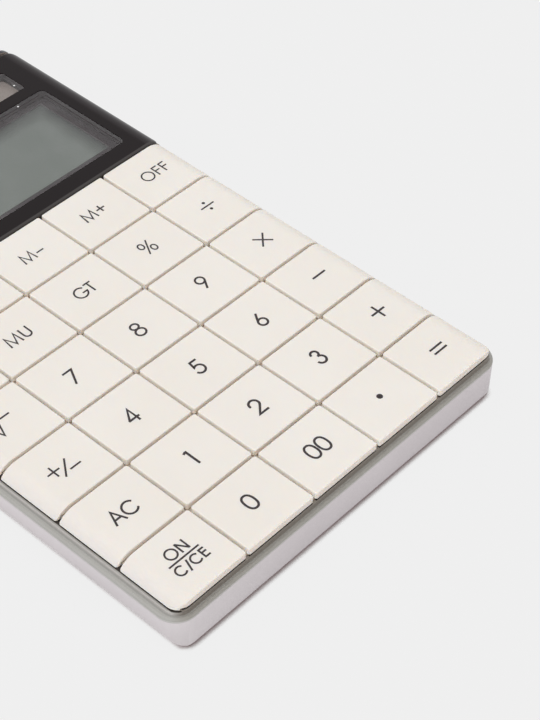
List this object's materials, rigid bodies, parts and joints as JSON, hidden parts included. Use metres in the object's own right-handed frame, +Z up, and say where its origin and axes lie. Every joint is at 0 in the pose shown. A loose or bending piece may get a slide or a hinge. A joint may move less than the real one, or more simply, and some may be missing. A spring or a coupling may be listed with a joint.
{
  "type": "desktop calculator",
  "caption": "Flat solar desktop calculator with a grid of square pillow keys that press straight down and a glossy dark display panel.",
  "frame": {"origin": "on the desk under the middle of the case, at the level of the rubber feet's lower faces", "axes": "+X to the user's right, +Y away from the user towards the display, +Z up"},
  "size_m": [0.113, 0.1764, 0.0149],
  "materials": {
    "key_ivory": "satin moulded",
    "case_silver": "satin silver lacquer",
    "housing_grey": "satin warm grey lacquer",
    "cover_black": "polished",
    "trim_dark": "polished",
    "clear_window": "polished clear acrylic",
    "bezel_dark": "fine grain",
    "display_glass": "polarising film",
    "reflector": "matt foil",
    "strip_rubber": "soft",
    "foam": "open cell",
    "solar_cell": "amorphous silicon on glass",
    "lead_copper": "tinned wire",
    "foot_rubber": "matt",
    "board": "solder mask",
    "resin": "cast resin",
    "capacitor_can": "printed sleeve",
    "ceramic": "fired",
    "mat_silicone": "translucent",
    "pill_carbon": "carbon filled",
    "cell_steel": "bright",
    "contact_steel": "nickel plated",
    "screw_steel": "zinc plated"
  },
  "bodies": {
    "case": {"lower_case": "case_silver", "upper_housing": "housing_grey", "display_cover": "cover_black", "rear_trim": "trim_dark", "display_window": "clear_window", "solar_window": "clear_window", "display_bezel": "bezel_dark", "display_glass": "display_glass", "display_reflector": "reflector", "contact_strip": "strip_rubber", "foam_strip": "foam", "solar_cell": "solar_cell", "solar_leads": "lead_copper", "rubber_feet": "foot_rubber", "main_board": "board", "controller_chip": "resin", "capacitor": "capacitor_can", "small_components": "ceramic", "key_mat": "mat_silicone", "contact_pills": "pill_carbon", "button_cell": "cell_steel", "negative_contact": "contact_steel", "positive_contact": "contact_steel", "case_screws": "screw_steel", "board_screws": "screw_steel"},
    "key_on_clear": {"key_on_clear": "key_ivory"},
    "key_zero": {"key_zero": "key_ivory"},
    "key_double_zero": {"key_double_zero": "key_ivory"},
    "key_point": {"key_point": "key_ivory"},
    "key_equals": {"key_equals": "key_ivory"},
    "key_all_clear": {"key_all_clear": "key_ivory"},
    "key_one": {"key_one": "key_ivory"},
    "key_two": {"key_two": "key_ivory"},
    "key_three": {"key_three": "key_ivory"},
    "key_plus": {"key_plus": "key_ivory"},
    "key_change_sign": {"key_change_sign": "key_ivory"},
    "key_four": {"key_four": "key_ivory"},
    "key_five": {"key_five": "key_ivory"},
    "key_six": {"key_six": "key_ivory"},
    "key_minus": {"key_minus": "key_ivory"},
    "key_square_root": {"key_square_root": "key_ivory"},
    "key_seven": {"key_seven": "key_ivory"},
    "key_eight": {"key_eight": "key_ivory"},
    "key_nine": {"key_nine": "key_ivory"},
    "key_times": {"key_times": "key_ivory"},
    "key_backspace": {"key_backspace": "key_ivory"},
    "key_mark_up": {"key_mark_up": "key_ivory"},
    "key_grand_total": {"key_grand_total": "key_ivory"},
    "key_percent": {"key_percent": "key_ivory"},
    "key_divide": {"key_divide": "key_ivory"},
    "key_memory_clear": {"key_memory_clear": "key_ivory"},
    "key_memory_recall": {"key_memory_recall": "key_ivory"},
    "key_memory_minus": {"key_memory_minus": "key_ivory"},
    "key_memory_plus": {"key_memory_plus": "key_ivory"},
    "key_off": {"key_off": "key_ivory"}
  },
  "joints": [
    {"name": "press_on_clear", "type": "slide", "parent": "case", "child": "key_on_clear", "axis": [0, 0, -1], "range_m": [0, 0.0005], "stiffness_N_per_m": 250, "springref_m": -0.0008, "deforming": ["key_mat"]},
    {"name": "press_zero", "type": "slide", "parent": "case", "child": "key_zero", "axis": [0, 0, -1], "range_m": [0, 0.0005], "stiffness_N_per_m": 250, "springref_m": -0.0008, "deforming": ["key_mat"]},
    {"name": "press_double_zero", "type": "slide", "parent": "case", "child": "key_double_zero", "axis": [0, 0, -1], "range_m": [0, 0.0005], "stiffness_N_per_m": 250, "springref_m": -0.0008, "deforming": ["key_mat"]},
    {"name": "press_point", "type": "slide", "parent": "case", "child": "key_point", "axis": [0, 0, -1], "range_m": [0, 0.0005], "stiffness_N_per_m": 250, "springref_m": -0.0008, "deforming": ["key_mat"]},
    {"name": "press_equals", "type": "slide", "parent": "case", "child": "key_equals", "axis": [0, 0, -1], "range_m": [0, 0.0005], "stiffness_N_per_m": 250, "springref_m": -0.0008, "deforming": ["key_mat"]},
    {"name": "press_all_clear", "type": "slide", "parent": "case", "child": "key_all_clear", "axis": [0, 0, -1], "range_m": [0, 0.0005], "stiffness_N_per_m": 250, "springref_m": -0.0008, "deforming": ["key_mat"]},
    {"name": "press_one", "type": "slide", "parent": "case", "child": "key_one", "axis": [0, 0, -1], "range_m": [0, 0.0005], "stiffness_N_per_m": 250, "springref_m": -0.0008, "deforming": ["key_mat"]},
    {"name": "press_two", "type": "slide", "parent": "case", "child": "key_two", "axis": [0, 0, -1], "range_m": [0, 0.0005], "stiffness_N_per_m": 250, "springref_m": -0.0008, "deforming": ["key_mat"]},
    {"name": "press_three", "type": "slide", "parent": "case", "child": "key_three", "axis": [0, 0, -1], "range_m": [0, 0.0005], "stiffness_N_per_m": 250, "springref_m": -0.0008, "deforming": ["key_mat"]},
    {"name": "press_plus", "type": "slide", "parent": "case", "child": "key_plus", "axis": [0, 0, -1], "range_m": [0, 0.0005], "stiffness_N_per_m": 250, "springref_m": -0.0008, "deforming": ["key_mat"]},
    {"name": "press_change_sign", "type": "slide", "parent": "case", "child": "key_change_sign", "axis": [0, 0, -1], "range_m": [0, 0.0005], "stiffness_N_per_m": 250, "springref_m": -0.0008, "deforming": ["key_mat"]},
    {"name": "press_four", "type": "slide", "parent": "case", "child": "key_four", "axis": [0, 0, -1], "range_m": [0, 0.0005], "stiffness_N_per_m": 250, "springref_m": -0.0008, "deforming": ["key_mat"]},
    {"name": "press_five", "type": "slide", "parent": "case", "child": "key_five", "axis": [0, 0, -1], "range_m": [0, 0.0005], "stiffness_N_per_m": 250, "springref_m": -0.0008, "deforming": ["key_mat"]},
    {"name": "press_six", "type": "slide", "parent": "case", "child": "key_six", "axis": [0, 0, -1], "range_m": [0, 0.0005], "stiffness_N_per_m": 250, "springref_m": -0.0008, "deforming": ["key_mat"]},
    {"name": "press_minus", "type": "slide", "parent": "case", "child": "key_minus", "axis": [0, 0, -1], "range_m": [0, 0.0005], "stiffness_N_per_m": 250, "springref_m": -0.0008, "deforming": ["key_mat"]},
    {"name": "press_square_root", "type": "slide", "parent": "case", "child": "key_square_root", "axis": [0, 0, -1], "range_m": [0, 0.0005], "stiffness_N_per_m": 250, "springref_m": -0.0008, "deforming": ["key_mat"]},
    {"name": "press_seven", "type": "slide", "parent": "case", "child": "key_seven", "axis": [0, 0, -1], "range_m": [0, 0.0005], "stiffness_N_per_m": 250, "springref_m": -0.0008, "deforming": ["key_mat"]},
    {"name": "press_eight", "type": "slide", "parent": "case", "child": "key_eight", "axis": [0, 0, -1], "range_m": [0, 0.0005], "stiffness_N_per_m": 250, "springref_m": -0.0008, "deforming": ["key_mat"]},
    {"name": "press_nine", "type": "slide", "parent": "case", "child": "key_nine", "axis": [0, 0, -1], "range_m": [0, 0.0005], "stiffness_N_per_m": 250, "springref_m": -0.0008, "deforming": ["key_mat"]},
    {"name": "press_times", "type": "slide", "parent": "case", "child": "key_times", "axis": [0, 0, -1], "range_m": [0, 0.0005], "stiffness_N_per_m": 250, "springref_m": -0.0008, "deforming": ["key_mat"]},
    {"name": "press_backspace", "type": "slide", "parent": "case", "child": "key_backspace", "axis": [0, 0, -1], "range_m": [0, 0.0005], "stiffness_N_per_m": 250, "springref_m": -0.0008, "deforming": ["key_mat"]},
    {"name": "press_mark_up", "type": "slide", "parent": "case", "child": "key_mark_up", "axis": [0, 0, -1], "range_m": [0, 0.0005], "stiffness_N_per_m": 250, "springref_m": -0.0008, "deforming": ["key_mat"]},
    {"name": "press_grand_total", "type": "slide", "parent": "case", "child": "key_grand_total", "axis": [0, 0, -1], "range_m": [0, 0.0005], "stiffness_N_per_m": 250, "springref_m": -0.0008, "deforming": ["key_mat"]},
    {"name": "press_percent", "type": "slide", "parent": "case", "child": "key_percent", "axis": [0, 0, -1], "range_m": [0, 0.0005], "stiffness_N_per_m": 250, "springref_m": -0.0008, "deforming": ["key_mat"]},
    {"name": "press_divide", "type": "slide", "parent": "case", "child": "key_divide", "axis": [0, 0, -1], "range_m": [0, 0.0005], "stiffness_N_per_m": 250, "springref_m": -0.0008, "deforming": ["key_mat"]},
    {"name": "press_memory_clear", "type": "slide", "parent": "case", "child": "key_memory_clear", "axis": [0, 0, -1], "range_m": [0, 0.0005], "stiffness_N_per_m": 250, "springref_m": -0.0008, "deforming": ["key_mat"]},
    {"name": "press_memory_recall", "type": "slide", "parent": "case", "child": "key_memory_recall", "axis": [0, 0, -1], "range_m": [0, 0.0005], "stiffness_N_per_m": 250, "springref_m": -0.0008, "deforming": ["key_mat"]},
    {"name": "press_memory_minus", "type": "slide", "parent": "case", "child": "key_memory_minus", "axis": [0, 0, -1], "range_m": [0, 0.0005], "stiffness_N_per_m": 250, "springref_m": -0.0008, "deforming": ["key_mat"]},
    {"name": "press_memory_plus", "type": "slide", "parent": "case", "child": "key_memory_plus", "axis": [0, 0, -1], "range_m": [0, 0.0005], "stiffness_N_per_m": 250, "springref_m": -0.0008, "deforming": ["key_mat"]},
    {"name": "press_off", "type": "slide", "parent": "case", "child": "key_off", "axis": [0, 0, -1], "range_m": [0, 0.0005], "stiffness_N_per_m": 250, "springref_m": -0.0008, "deforming": ["key_mat"]}
  ]
}
